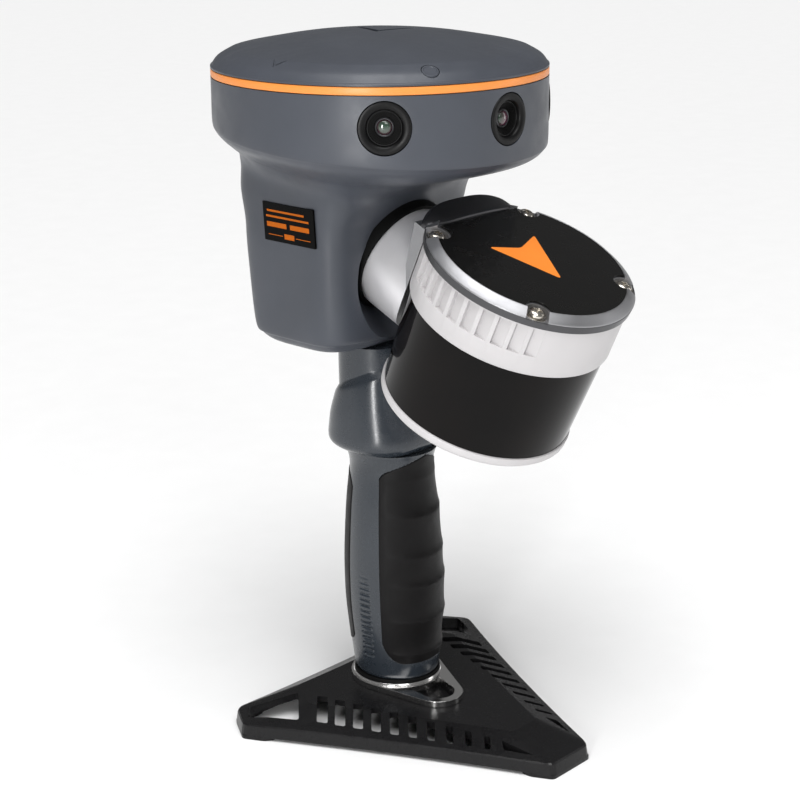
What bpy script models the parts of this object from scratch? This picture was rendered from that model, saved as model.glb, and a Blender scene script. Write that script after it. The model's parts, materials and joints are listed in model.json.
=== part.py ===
"""Handheld laser scanner standing on its tripod foot.

The lengths below are millimetres; make_object() builds every mesh in metres.
+Z is up, the sensor looks towards -Y and X = 0 is the plane of symmetry.
"""
import math

import bmesh
import bpy
from mathutils import Vector

# ---------------------------------------------------------------- driving dimensions
GAP = 0.3                    # clearance between touching pieces
SEGMENTS = 32                # sides of a large round piece
SMALL_SEGMENTS = 16          # sides of a small round piece
FLOOR = 4.4                  # height of the floor in the levels below
FRAME_SHIFT_Y = 21.95        # moves the handle axis so that the origin is the box centre

HEAD_HALF_WIDTH = 80.5
HEAD_FRONT, HEAD_BACK = -73.5, 90.5
HEAD_POWER = 2.05            # superellipse exponent of the head's plan
HOUSING_TOP = 336.0
BAND_TOP = 340.0
DOME_TOP = 356.9
VENT_RADIUS = 4.0
VENT_PLACE, VENT_TURN = (-37.8, -58.6, 345.9), (30, 0, -29.4)      # square to the crown's slope

PORT_Y, PORT_TOP = 61.6, 239.0       # hinge line of the port's cover
LABEL_LEAN = 3.5             # degrees that the label follows the flare of the side
CAMERA_Z = 321.7
CAMERA_RADIUS = 12.1
CAMERA_ANGLES = {"front": 0.0, "left": -45.0, "right": 45.0}

SENSOR_TILT = 24.0           # degrees that the sensor leans forward
SENSOR_Y, SENSOR_Z = -88.5, 259.5
PLATE_RADIUS, PLATE_HEIGHT = 51.4, 7.3
INLAY_RADIUS = 46.2
INLAY_CHORD = 33.0           # straight rear edge of the inlay, behind the sensor axis
SCREW_CIRCLE, SCREW_POCKET = 45.7, 6.0
LIDAR_RADIUS = 50.0
FIN_RING_END = 33.1
WINDOW_END, WINDOW_END_RADIUS = 82.3, 47.1
LIDAR_END = 87.2
ARM_RADIUS, ARM_DROP, ARM_END = 27.5, 45.0, 74.5
SPIGOT_RADIUS = 18.0

HANDLE_TOP, HANDLE_BOTTOM = 147.4, 24.6
LANYARD_TURN = -10.0         # degrees that the wrist strap's loop is turned to the left
LANYARD_BIG, LANYARD_SMALL, LANYARD_REACH = 24.5, 13.0, 35.0     # its two circles and their distance
LANYARD_TOP = 21.3
PAD_THICKNESS = 2.5
PAD_TOP, PAD_BOTTOM = 138.0, 27.0
PAD_HALF_ANGLE = 60.0        # degrees of the handle's oval each pad covers to each side

PLATEAU_Z, RIM_Z, WALL_Z = 18.0, 12.5, 6.2
STAND_SHELL = 2.6
HUB_RADIUS = 19.0
# half plans of the foot: the front end, then both points of a truncated rear corner
RIM_PLAN = ((14.2, -117.2), (88.0, 26.0), (78.0, 42.0))
PLATEAU_PLAN = ((9.0, -88.1), (56.9, 10.1), (45.9, 29.1))
HOLLOW_PLAN = ((12.0, -92.0), (68.0, 12.0), (60.0, 36.0))
HOLLOW_TOP_PLAN = ((7.0, -84.0), (52.0, 9.0), (43.0, 26.5))
FOOT_CORNERS = {"front": 0, "right": 2, "left": 4}
FOOT_RUN, FOOT_DEPTH = 12.0, 5.5     # how far a pad follows the rim past the corner, its width
SLOTS = 10
SCREW_RADIUS = 3.0

COLOURS = {                  # base colour, metallic, roughness
    "slate_plastic": ((0.115, 0.130, 0.150), 0.0, 0.45),
    "orange_plastic": ((0.95, 0.33, 0.05), 0.0, 0.40),
    "black_plastic": ((0.030, 0.030, 0.032), 0.0, 0.50),
    "rubber": ((0.014, 0.013, 0.013), 0.0, 0.75),
    "silver_metal": ((0.45, 0.45, 0.47), 1.0, 0.35),
    "chrome": ((0.80, 0.80, 0.82), 1.0, 0.08),
    "steel": ((0.55, 0.54, 0.52), 1.0, 0.25),
    "white_paint": ((0.75, 0.74, 0.74), 0.0, 0.45),
    "window_glass": ((0.012, 0.010, 0.011), 0.0, 0.08),
    "lens_glass": ((0.02, 0.02, 0.03), 0.0, 0.03),
    "circuit_board": ((0.02, 0.12, 0.05), 0.0, 0.50),
    "ceramic": ((0.60, 0.55, 0.45), 0.0, 0.60),
    "label_black": ((0.010, 0.010, 0.010), 0.0, 0.40),
}


# ---------------------------------------------------------------- tools
def clear_scene():
    for item in list(bpy.data.objects):
        bpy.data.objects.remove(item, do_unlink=True)


def material(name):
    found = bpy.data.materials.get(name)
    if found:
        return found
    made = bpy.data.materials.new(name)
    made.use_nodes = True
    shader = made.node_tree.nodes["Principled BSDF"]
    colour, metallic, roughness = COLOURS[name]
    shader.inputs["Base Color"].default_value = (*colour, 1.0)
    shader.inputs["Metallic"].default_value = metallic
    shader.inputs["Roughness"].default_value = roughness
    made.diffuse_color = (*colour, 1.0)
    return made


def make_empty(name, location=(0, 0, 0), rotation=(0, 0, 0), parent=None):
    empty = bpy.data.objects.new(name, None)
    bpy.context.collection.objects.link(empty)
    empty.location = Vector(location) / 1000
    empty.rotation_euler = [math.radians(angle) for angle in rotation]
    empty.parent = parent
    return empty


def make_object(name, finish, points, faces, parent, at=(0, 0, 0), turn=(0, 0, 0)):
    """A mesh object from points in millimetres, outward-facing and smooth where round."""
    mesh = bpy.data.meshes.new(name)
    shape = bmesh.new()
    verts = [shape.verts.new(Vector(point) / 1000) for point in points]
    for face in faces:
        shape.faces.new([verts[index] for index in face])
    bmesh.ops.recalc_face_normals(shape, faces=shape.faces)
    shape.to_mesh(mesh)
    shape.free()
    mesh.shade_smooth()
    mesh.set_sharp_from_angle(angle=math.radians(35))
    mesh.materials.append(material(finish))
    made = bpy.data.objects.new(name, mesh)
    bpy.context.collection.objects.link(made)
    made.location = Vector(at) / 1000
    made.rotation_euler = [math.radians(angle) for angle in turn]
    made.parent = parent
    return made


def loft(name, finish, loops, parent, closed=False, **place):
    """Bridge loops of equal length; closed joins the last loop to the first."""
    count = len(loops[0])
    points = [point for loop in loops for point in loop]
    faces = []
    for row in range(len(loops) if closed else len(loops) - 1):
        low, high = row * count, ((row + 1) % len(loops)) * count
        for i in range(count):
            j = (i + 1) % count
            faces.append((low + i, low + j, high + j, high + i))
    if not closed:
        faces.append(tuple(range(count))[::-1])
        faces.append(tuple(range((len(loops) - 1) * count, len(loops) * count)))
    return make_object(name, finish, points, faces, parent, **place)


def circle(radius, z, count=SEGMENTS, centre=(0.0, 0.0)):
    steps = [2 * math.pi * i / count for i in range(count)]
    return [(centre[0] + radius * math.cos(a), centre[1] + radius * math.sin(a), z) for a in steps]


def turned(name, finish, profile, parent, closed=False, count=SEGMENTS, **place):
    """Revolve (radius, z) points; closed makes a ring with a hole through it."""
    loops = [circle(radius, z, count) for radius, z in profile]
    return loft(name, finish, loops, parent, closed, **place)


def block(name, finish, low, high, parent, **place):
    corners = [(low[0], low[1]), (high[0], low[1]), (high[0], high[1]), (low[0], high[1])]
    loops = [[(x, y, z) for x, y in corners] for z in (low[2], high[2])]
    return loft(name, finish, loops, parent, **place)


def prism(name, finish, outline, low, high, parent, **place):
    loops = [[(x, y, z) for x, y in outline] for z in (low, high)]
    return loft(name, finish, loops, parent, **place)


def combine(target, tool, operation="DIFFERENCE"):
    """Add a Boolean whose tool is hidden from the model."""
    tool.hide_render = True
    tool.display_type = "WIRE"
    step = target.modifiers.new(operation.lower(), "BOOLEAN")
    step.operation = operation
    step.solver = "EXACT"
    step.object = tool


def superloop(half_width, front, back, z_front, z_back, power, count=SEGMENTS):
    """Superellipse loop between y = front and y = back, on a plane that may slope."""
    middle, half_depth = (front + back) / 2, (back - front) / 2
    loop = []
    for i in range(count):
        angle = 2 * math.pi * i / count
        across = math.copysign(abs(math.cos(angle)) ** (2 / power), math.cos(angle))
        along = math.copysign(abs(math.sin(angle)) ** (2 / power), math.sin(angle))
        y = middle + half_depth * along
        z = z_front + (z_back - z_front) * (y - front) / (back - front)
        loop.append((half_width * across, y, z))
    return loop


def head_loop(z, inset=0.0, scale=1.0):
    """The head's plan outline, inset by a wall thickness and scaled about its centre."""
    middle = (HEAD_FRONT + HEAD_BACK) / 2
    reach = ((HEAD_BACK - HEAD_FRONT) / 2 - inset) * scale
    width = (HEAD_HALF_WIDTH - inset) * scale
    return superloop(width, middle - reach, middle + reach, z, z, HEAD_POWER)


def head_point(angle):
    """Point and outward direction (degrees from the front) on the head's wall."""
    middle, half_depth = (HEAD_FRONT + HEAD_BACK) / 2, (HEAD_BACK - HEAD_FRONT) / 2
    dx, dy = math.sin(math.radians(angle)), math.cos(math.radians(angle))
    size = abs(dx / HEAD_HALF_WIDTH) ** HEAD_POWER + abs(dy / half_depth) ** HEAD_POWER
    reach = size ** (-1 / HEAD_POWER)
    x, y = reach * dx, reach * dy
    slope_x = math.copysign(abs(x / HEAD_HALF_WIDTH) ** (HEAD_POWER - 1), x) / HEAD_HALF_WIDTH
    slope_y = abs(y / half_depth) ** (HEAD_POWER - 1) / half_depth
    return (x, middle - y), math.degrees(math.atan2(slope_x, slope_y))


# ---------------------------------------------------------------- stand
def both_halves(plan, grow=0.0):
    """The six corners of a truncated triangle, anticlockwise from the front left."""
    front, near, far = [Vector(point) * (1 + grow) for point in plan]
    right = [front, near, far]
    left = [Vector((-point.x, point.y)) for point in reversed(right)]
    return [left[-1]] + right + left[:-1]


def stand_loop(z, corners, bow, steps=4):
    """Outline through the corners; its three long sides bow inwards."""
    loop = []
    for corner in range(0, 6, 2):
        start, end = corners[corner + 1], corners[(corner + 2) % 6]
        run = end - start
        inward = Vector((-run.y, run.x)).normalized()
        loop.append((*corners[corner], z))
        for step in range(steps):
            part = step / steps
            point = start + run * part + inward * bow * 4 * part * (1 - part)
            loop.append((*point, z))
    return loop


def stand_openings(parent):
    """Cutters of the slots and the two corner openings on each long side."""
    tools = []
    for mirror in (-1, 1):
        start, end = [Vector((mirror * x, y)) for x, y in (RIM_PLAN[1], RIM_PLAN[0])]
        length = (end - start).length
        run = (end - start) / length
        inward = Vector((run.y, -run.x)) * mirror

        def spot(part, depth, lean=0.3):
            return tuple(start + run * (length * part - lean * depth) + inward * depth)

        outlines = [[spot(0.0, 6.5, 0), spot(0.17, 8, 0), spot(0.12, 31, 0), spot(-0.02, 16, 0)],
                    [spot(0.84, 5.5, 0), spot(0.935, 4.5, 0), spot(0.825, 11.5, 0)]]
        for slot in range(SLOTS):
            fade = slot / (SLOTS - 1)
            part = 0.262 + 0.538 * fade
            half = (3.0 - 1.5 * fade) / length
            near, far = 8.4 - 3.7 * fade, 29.5 - 16.5 * fade
            outlines.append([spot(part - half, near), spot(part + half, near),
                             spot(part + half, far), spot(part - half, far)])
        for index, outline in enumerate(outlines):
            tools.append(prism(f"slot_tool_{mirror}_{index}", "black_plastic", outline, -1, 30, parent))
    return tools


def foot_outline(corner):
    """Band along the rim that wraps one truncated corner of the foot."""
    corners = both_halves(RIM_PLAN)
    before, start, end, after = [corners[(corner + step) % 6] for step in (-1, 0, 1, 2)]
    outside = [start + (before - start).normalized() * FOOT_RUN, start,
               end, end + (after - end).normalized() * FOOT_RUN]
    middle = (start + end) / 2
    inward = -Vector((middle.x, middle.y + RIM_PLAN[1][1])).normalized() * FOOT_DEPTH
    return [tuple(point) for point in outside + [point + inward for point in reversed(outside)]]


def build_stand(root):
    plate = loft("stand_plate", "black_plastic", [
        stand_loop(WALL_Z, both_halves(RIM_PLAN, 0.01), 2.0),
        stand_loop(RIM_Z, both_halves(RIM_PLAN), 2.0),
        stand_loop(PLATEAU_Z, both_halves(PLATEAU_PLAN), 1.0)], root)
    hollow = loft("stand_hollow", "black_plastic", [
        stand_loop(-1, both_halves(HOLLOW_PLAN), 0.0),
        stand_loop(RIM_Z - STAND_SHELL, both_halves(HOLLOW_PLAN), 0.0),
        stand_loop(PLATEAU_Z - STAND_SHELL, both_halves(HOLLOW_TOP_PLAN), 0.0)], root)
    hub = turned("stand_hub_tool", "black_plastic", [(HUB_RADIUS, 9.0), (HUB_RADIUS, 17.0)], root)
    bore = turned("stand_bore_tool", "black_plastic",
                  [(SCREW_RADIUS + GAP, -1), (SCREW_RADIUS + GAP, 30)], root, count=SMALL_SEGMENTS)
    combine(plate, hollow)
    for tool in stand_openings(root):
        combine(plate, tool)
    combine(plate, hub, "UNION")
    combine(plate, bore)
    for name, corner in FOOT_CORNERS.items():
        prism(f"foot_pad_{name}", "rubber", foot_outline(corner), FLOOR, WALL_Z - GAP, root)
    turned("stand_screw", "steel", [
        (14.0, 5.6), (15.0, 6.2), (15.0, 8.1), (14.0, 8.7), (SCREW_RADIUS, 8.7),
        (SCREW_RADIUS, 32.5), (SCREW_RADIUS - 1, 33.5)], root, count=SMALL_SEGMENTS)


# ---------------------------------------------------------------- handle
def teardrop(big, small, reach, count=24):
    """Outline round a circle at the handle axis and a smaller one ahead of it."""
    tangent = math.acos((big - small) / reach)
    outline = []
    for i in range(count + 1):
        angle = -math.pi / 2 + tangent + (2 * math.pi - 2 * tangent) * i / count
        outline.append((big * math.cos(angle), big * math.sin(angle)))
    for i in range(count // 2 + 1):
        angle = -math.pi / 2 - tangent + 2 * tangent * i / (count // 2)
        outline.append((small * math.cos(angle), small * math.sin(angle) - reach))
    return outline


def loop_hole(ring, small, reach, half_angle=24.0, count=8):
    """D-shaped outline between an arc round the handle and the loop's round tip."""
    outline = []
    for i in range(count + 1):
        angle = math.radians(-90 - half_angle + 2 * half_angle * i / count)
        outline.append((ring * math.cos(angle), ring * math.sin(angle)))
    for i in range(count + 1):
        angle = math.radians(-10 - 160 * i / count)
        outline.append((small * math.cos(angle), small * math.sin(angle) - reach))
    return outline


HANDLE_LEVELS = ((24.6, 22.0, 0.3), (36.0, 23.4, 0.5), (60.0, 25.6, 1.0), (76.0, 25.9, 1.5),
                 (92.0, 25.4, 2.0), (116.0, 23.8, 2.5), (136.0, 21.6, 3.0), (147.4, 22.2, 3.4))


def handle_size(z):
    """Half size and centre y of the handle at height z."""
    for (z0, r0, y0), (z1, r1, y1) in zip(HANDLE_LEVELS, HANDLE_LEVELS[1:]):
        if z <= z1:
            part = (z - z0) / (z1 - z0)
            return r0 + (r1 - r0) * part, y0 + (y1 - y0) * part
    return HANDLE_LEVELS[-1][1:]


def handle_point(angle, z, inset=0.0):
    """Point on the handle's oval at an angle in degrees from the front."""
    size, middle = handle_size(z)
    turn = math.radians(angle)
    return ((0.97 * size - inset) * math.sin(turn), middle - (1.03 * size - inset) * math.cos(turn), z)


def handle_shell(root):
    """Tube whose sides stand proud of the two rubber pads."""
    heights = [HANDLE_BOTTOM, 26.6, 26.8, 60, 92, 116, 138.2, 138.4, HANDLE_TOP]
    edge = PAD_HALF_ANGLE + 1.5
    pad = [-edge + 2 * edge * i / 10 for i in range(11)]
    side = [edge + 4.5 + (171 - 2 * edge) * i / 4 for i in range(5)]
    half_turn = pad + side
    angles = half_turn + [180 + angle for angle in half_turn]
    outer = []
    for z in heights:
        loop = []
        for angle in angles:
            proud = angle % 180 in side or z < 26.7 or z > 138.3
            inset = 0 if proud else PAD_THICKNESS + GAP
            loop.append(handle_point(angle, z, inset))
        outer.append(loop)
    inner = [[handle_point(angle, z, 5.0) for angle in angles] for z in reversed(heights[::2])]
    return loft("handle_shell", "slate_plastic", outer + inner, root, closed=True)


def rubber_pad(name, root, start, end, grooves):
    """Pad on the handle from one angle to another, with finger grooves where asked."""
    rows = 13
    loops = []
    for row in range(rows):
        z = PAD_BOTTOM + (PAD_TOP - PAD_BOTTOM) * row / (rows - 1)
        wave = 1.1 * (0.5 - 0.5 * math.cos(2 * math.pi * grooves * row / (rows - 1))) if grooves else 0
        lift = wave - 0.6 if grooves else 0
        angles = [start + (end - start) * i / 10 for i in range(11)]
        outside = [handle_point(angle, z, -lift) for angle in angles]
        inside = [handle_point(angle, z, PAD_THICKNESS) for angle in reversed(angles)]
        loops.append(outside + inside)
    return loft(name, "rubber", loops, root)


def build_handle(root):
    handle_shell(root)
    rubber_pad("front_grip", root, -PAD_HALF_ANGLE, PAD_HALF_ANGLE, 4)
    rubber_pad("rear_grip", root, 180 - PAD_HALF_ANGLE, 180 + PAD_HALF_ANGLE, 0)

    ring = prism("lanyard_ring", "chrome", teardrop(LANYARD_BIG, LANYARD_SMALL, LANYARD_REACH),
                 PLATEAU_Z + GAP, LANYARD_TOP, root, turn=(0, 0, LANYARD_TURN))
    hole = prism("lanyard_hole_tool", "chrome", loop_hole(LANYARD_BIG + 0.5, 8.8, LANYARD_REACH), 10, 30,
                 root, turn=(0, 0, LANYARD_TURN))
    bore = turned("lanyard_bore_tool", "chrome", [(6.0, 10), (6.0, 30)], root, count=SMALL_SEGMENTS)
    combine(ring, hole)
    combine(ring, bore)
    turned("base_gasket", "rubber", [
        (23.0, LANYARD_TOP + GAP), (23.0, HANDLE_BOTTOM - GAP),
        (6.0, HANDLE_BOTTOM - GAP), (6.0, LANYARD_TOP + GAP)], root, closed=True)
    turned("base_insert", "steel", [(16.3, 24.7), (16.3, 35.0), (3.4, 35.0), (3.4, 24.7)],
           root, closed=True, count=SMALL_SEGMENTS)
    turned("contact_board", "circuit_board", [(14.0, 36.5), (14.0, 38.1)], root,
           count=SMALL_SEGMENTS)
    turned("battery_pack", "black_plastic", [(13.0, 38.5), (14.0, 39.5), (14.0, 134.0), (13.0, 135.0)],
           root, count=SMALL_SEGMENTS, at=(0, 1.5, 0))


# ---------------------------------------------------------------- neck
NECK_LEVELS = ((147.7, 24.5, -17.5, 29.0), (150.5, 28.0, -19.6, 32.8), (154.0, 28.6, -19.8, 33.4),
               (162.0, 28.1, -18.0, 32.9), (176.0, 25.0, -13.0, 29.9), (179.0, 23.0, -9.4, 27.3),
               (202.7, 23.0, -9.0, 27.3))
BUTTON_Y, BUTTON_Z = 34.4, 163.0


def build_neck(root):
    outer = [superloop(a, front, back, z, z, 2.5) for z, a, front, back in NECK_LEVELS]
    inner = [superloop(a - 4, front + 4, back - 4, z, z, 2.5) for z, a, front, back
             in reversed(NECK_LEVELS[::2])]
    neck = loft("neck_shell", "slate_plastic", outer + inner, root, closed=True)
    boss = turned("button_boss_tool", "slate_plastic", [(10.0, 14.0), (10.0, 20.0)], root,
                  count=SMALL_SEGMENTS, at=(0, 12, BUTTON_Z), turn=(-90, 0, 0))
    pocket = turned("button_pocket_tool", "slate_plastic", [(8.6, 0), (8.6, 20)], root,
                    count=SMALL_SEGMENTS, at=(0, 27.0, BUTTON_Z), turn=(-90, 0, 0))
    well = turned("button_well_tool", "slate_plastic", [(4.0, 0), (4.0, 20)], root,
                  count=SMALL_SEGMENTS, at=(0, 18.0, BUTTON_Z), turn=(-90, 0, 0))
    pipe = turned("indicator_hole_tool", "slate_plastic", [(1.8, 0), (1.8, 20)], root,
                  count=12, at=(0, 20.0, BUTTON_Z + 16), turn=(-90, 0, 0))
    combine(neck, boss, "UNION")
    combine(neck, pocket)
    combine(neck, well)
    combine(neck, pipe)
    turned("button_bezel", "black_plastic", [(8.3, 27.3), (8.3, BUTTON_Y), (6.3, BUTTON_Y), (6.3, 27.3)],
           root, closed=True, count=SMALL_SEGMENTS, at=(0, 0, BUTTON_Z), turn=(-90, 0, 0))
    turned("power_button", "orange_plastic", [(3.6, 25.0), (3.6, 29.5), (6.0, 29.5), (6.0, 33.8),
                                              (5.4, 34.6)], root,
           count=SMALL_SEGMENTS, at=(0, 0, BUTTON_Z), turn=(-90, 0, 0))
    turned("indicator_lens", "white_paint", [(1.5, 23.0), (1.5, 28.0)], root,
           count=12, at=(0, 0, BUTTON_Z + 16), turn=(-90, 0, 0))


# ---------------------------------------------------------------- housing and head
BODY_LEVELS = (              # half width, front, back, z at the front, z at the back, power
    (44.5, -3.0, 55.0, 203.0, 203.0, 4.6), (47.8, -6.0, 58.5, 205.2, 205.2, 5.4),
    (49.4, -7.4, 60.2, 209.5, 209.5, 6.0), (50.8, -8.3, 62.1, 250.0, 250.0, 6.0),
    (52.0, -11.0, 64.6, 270.0, 283.0, 5.2), (53.5, -18.5, 66.5, 281.5, 296.0, 4.0),
    (60.5, -35.0, 70.5, 289.0, 301.5, 2.8), (68.0, -53.0, 79.0, 292.5, 306.0, 2.4),
    (75.5, -66.5, 85.8, 296.5, 310.5, 2.15), (79.4, -72.4, 89.4, 300.5, 313.5, 2.05),
    (80.5, -73.5, 90.5, 304.5, 317.0, 2.05), (80.5, -73.5, 90.5, 336.0, 336.0, 2.05))
CAVITY_LEVELS = ((77.5, -70.5, 87.5, 336.0, 336.0, 2.05), (77.5, -70.5, 87.5, 306.0, 318.5, 2.05),
                 (48.0, 9.0, 55.0, 297.0, 306.0, 3.6), (45.5, 9.0, 53.0, 207.0, 207.0, 3.6))


def arm_tool(name, radius, start, end, sensor, finish="slate_plastic"):
    """Cylinder along the arm's axis, from one distance behind the sensor axis to another."""
    return turned(name, finish, [(radius, start), (radius, end)], sensor,
                  at=(0, 0, -ARM_DROP), turn=(-90, 0, 0))


def build_cameras(root, housing):
    for side, angle in CAMERA_ANGLES.items():
        (x, y), facing = head_point(angle)
        place = dict(at=(x, y, CAMERA_Z), turn=(90, 0, facing), count=SMALL_SEGMENTS)
        hole = turned(f"camera_{side}_hole_tool", "slate_plastic",
                      [(CAMERA_RADIUS + GAP, -30), (CAMERA_RADIUS + GAP, 20)], root, **place)
        combine(housing, hole)
        turned(f"camera_{side}_bezel", "black_plastic", [
            (CAMERA_RADIUS, -7), (CAMERA_RADIUS, -0.6), (CAMERA_RADIUS - 1.0, 0.0), (9.4, -0.3),
            (6.6, -3.6), (6.6, -7)], root, closed=True, **place)
        turned(f"camera_{side}_lens", "lens_glass", [
            (6.2, -7), (6.2, -3.4), (4.6, -2.2), (2.4, -1.6)], root, **place)
        turned(f"camera_{side}_barrel", "black_plastic", [
            (9.0, -18), (9.0, -10), (7.5, -10), (7.5, -7.3)], root, **place)


def build_housing(root, sensor):
    loops = [superloop(*level) for level in BODY_LEVELS + CAVITY_LEVELS]
    housing = loft("main_housing", "slate_plastic", loops, root)
    combine(housing, arm_tool("seal_recess_tool", ARM_RADIUS + 3.0, 45, ARM_END + GAP, sensor))
    combine(housing, arm_tool("arm_hole_tool", SPIGOT_RADIUS + GAP, 60, 100, sensor))
    neck_hole = prism("neck_hole_tool", "slate_plastic",
                      [point[:2] for point in superloop(15, 13, 24, 0, 0, 2.2)], 190, 215, root)
    combine(housing, neck_hole)
    hinge = make_empty("port_hinge", (0, PORT_Y, PORT_TOP), parent=root)
    pocket = block("port_pocket_tool", "slate_plastic", (-17.3, -4.2, -16.3), (17.3, 16.0, 0.3), hinge)
    socket_hole = block("port_hole_tool", "slate_plastic", (-6.3, -18, -11.3), (6.3, -1, -4.7), hinge)
    combine(housing, pocket)
    combine(housing, socket_hole)
    build_cameras(root, housing)

    block("label_plate", "label_black", (-0.3, 3.0, -9.6), (0.2, 38.0, 9.6), root,
          at=(-52.35, 0, 267.6), turn=(0, -LABEL_LEAN, 0))
    flap = [(0, 0), (0, -16.0), (-3.6, -16.0), (-3.6, -4.0)]
    prism("port_cover", "rubber", flap, -17.0, 17.0, hinge, turn=(90, 0, 90))
    block("port_socket", "steel", (-6.0, -14.2, -11.0), (6.0, -4.4, -5.0), hinge)
    band = [head_loop(HOUSING_TOP + GAP), head_loop(BAND_TOP), head_loop(BAND_TOP, 6),
            head_loop(HOUSING_TOP + GAP, 6)]
    loft("trim_band", "orange_plastic", band, root, closed=True)
    build_dome(root)
    build_electronics(root)


def build_dome(root):
    steps = ((1.0, BAND_TOP + GAP), (1.0, 341.6), (0.957, 345.2), (0.90, 347.8), (0.86, 349.0),
             (0.74, 351.3), (0.50, 354.7), (0.25, 356.5), (0.08, DOME_TOP))
    outer = [head_loop(z, 0.0, scale) for scale, z in reversed(steps)]
    inner = [head_loop(BAND_TOP + GAP, 2.8)] + [head_loop(z - 2.6, 2.8, scale) for scale, z in steps[3:]]
    dome = loft("antenna_dome", "slate_plastic", outer + inner, root)
    vent = dict(count=SMALL_SEGMENTS, at=VENT_PLACE, turn=VENT_TURN)
    hole = turned("vent_hole_tool", "slate_plastic", [(VENT_RADIUS + GAP, -12), (VENT_RADIUS + GAP, 15)],
                  root, **vent)
    combine(dome, hole)
    turned("vent_plug", "slate_plastic", [(VENT_RADIUS, -3.4), (VENT_RADIUS, 0.3)], root, **vent)


def build_electronics(root):
    """Antenna, boards and storage carried inside the head and the body."""
    middle = (HEAD_FRONT + HEAD_BACK) / 2
    turned("antenna_ground_plane", "steel", [(60.0, 337.0), (60.0, 338.5)], root, at=(0, middle, 0))
    turned("antenna_element", "ceramic", [(22.0, 338.9), (22.0, 345.0)], root, at=(0, middle, 0))
    block("main_board", "circuit_board", (-45, -35, 320.0), (45, 60, 321.6), root)
    block("processor_heatsink", "silver_metal", (-18, -8, 322.0), (18, 28, 330.0), root)
    block("inertial_unit", "black_plastic", (-14, 28, 311.0), (14, 50, 319.6), root)
    block("storage_drive", "black_plastic", (-30, 35, 250.0), (30, 45, 290.0), root)
    block("power_board", "circuit_board", (-36, 30, 246.0), (36, 31.6, 294.0), root)


# ---------------------------------------------------------------- sensor on its arm
def screw_places():
    half = SCREW_CIRCLE * math.sin(math.radians(45))
    return [(x, y) for x in (-half, half) for y in (-half, half)]


def build_bracket(sensor):
    """Ring plate, rear slab and round arm, one casting."""
    plate = turned("sensor_bracket", "silver_metal", [
        (49.8, -PLATE_HEIGHT), (PLATE_RADIUS, -2.6), (INLAY_RADIUS + GAP, 0),
        (INLAY_RADIUS + GAP, -1.3)], sensor)
    slab = prism("slab_tool", "silver_metal", [
        (27.6 * math.cos(a), 27.6 * math.sin(a)) for a in
        [math.pi * (1 + i / 16) for i in range(17)]] + [(27.6, 41.0), (-27.6, 41.0)],
        -53.0, -36.0, sensor, at=(0, 0, -ARM_DROP), turn=(90, 0, 0))
    cheeks = block("cheek_tool", "silver_metal", (-29.0, 36.0, -ARM_DROP), (29.0, 52.0, -8.0), sensor)
    arm = arm_tool("arm_tool", ARM_RADIUS, 40.0, ARM_END - 0.6, sensor, "silver_metal")
    spigot = arm_tool("spigot_tool", SPIGOT_RADIUS, 60.0, 92.0, sensor, "silver_metal")
    seat = turned("lidar_seat_tool", "silver_metal", [
        (LIDAR_RADIUS + 0.5, -120), (LIDAR_RADIUS + 0.5, -PLATE_HEIGHT)], sensor)
    for tool in (slab, cheeks, arm, spigot):
        combine(plate, tool, "UNION")
    combine(plate, seat)
    for number, (x, y) in enumerate(screw_places()):
        pocket = turned(f"screw_pocket_tool_{number}", "silver_metal",
                        [(SCREW_POCKET, -3.6), (SCREW_POCKET, 5)], sensor,
                        count=SMALL_SEGMENTS, at=(x, y, 0))
        hole = turned(f"screw_hole_tool_{number}", "silver_metal", [(1.9, -14), (1.9, 5)], sensor,
                      count=12, at=(x, y, 0))
        combine(plate, pocket)
        combine(plate, hole)


def build_plate_trim(sensor):
    """Black inlay, cable cover, seal and the four screws."""
    half = math.degrees(math.acos(INLAY_CHORD / INLAY_RADIUS))
    steps = [math.radians(90 + half + (360 - 2 * half) * i / 32) for i in range(33)]
    outline = [(INLAY_RADIUS * math.cos(a), INLAY_RADIUS * math.sin(a)) for a in steps]
    inlay = prism("plate_inlay", "label_black", outline, -1.0, 0.0, sensor)
    cover = block("cable_cover", "black_plastic", (-30, INLAY_CHORD + GAP, GAP), (30, 47.0, 2.6), sensor)
    slope = block("cover_slope_tool", "black_plastic", (-40, -20, 0), (40, 30, 20), sensor,
                  at=(0, INLAY_CHORD + 1.0, 0.9), turn=(18, 0, 0))
    combine(cover, slope)
    for number, (x, y) in enumerate(screw_places()):
        place = dict(at=(x, y, 0), count=SMALL_SEGMENTS)
        pocket = turned(f"inlay_pocket_tool_{number}", "label_black",
                        [(SCREW_POCKET + GAP, -5), (SCREW_POCKET + GAP, 6)], sensor, **place)
        combine(inlay, pocket)
        combine(cover, pocket)
        turned(f"sensor_screw_{number + 1}", "steel", [
            (1.6, -12.0), (1.6, -3.3), (3.8, -3.3), (3.8, -1.6), (2.8, -0.7)], sensor, **place)
    turned("arm_seal", "rubber", [
        (ARM_RADIUS + GAP, ARM_END - 3.2), (ARM_RADIUS + 2.7, ARM_END - 3.2),
        (ARM_RADIUS + 2.7, ARM_END), (ARM_RADIUS + GAP, ARM_END)], sensor, closed=True,
        at=(0, 0, -ARM_DROP), turn=(-90, 0, 0))


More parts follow.
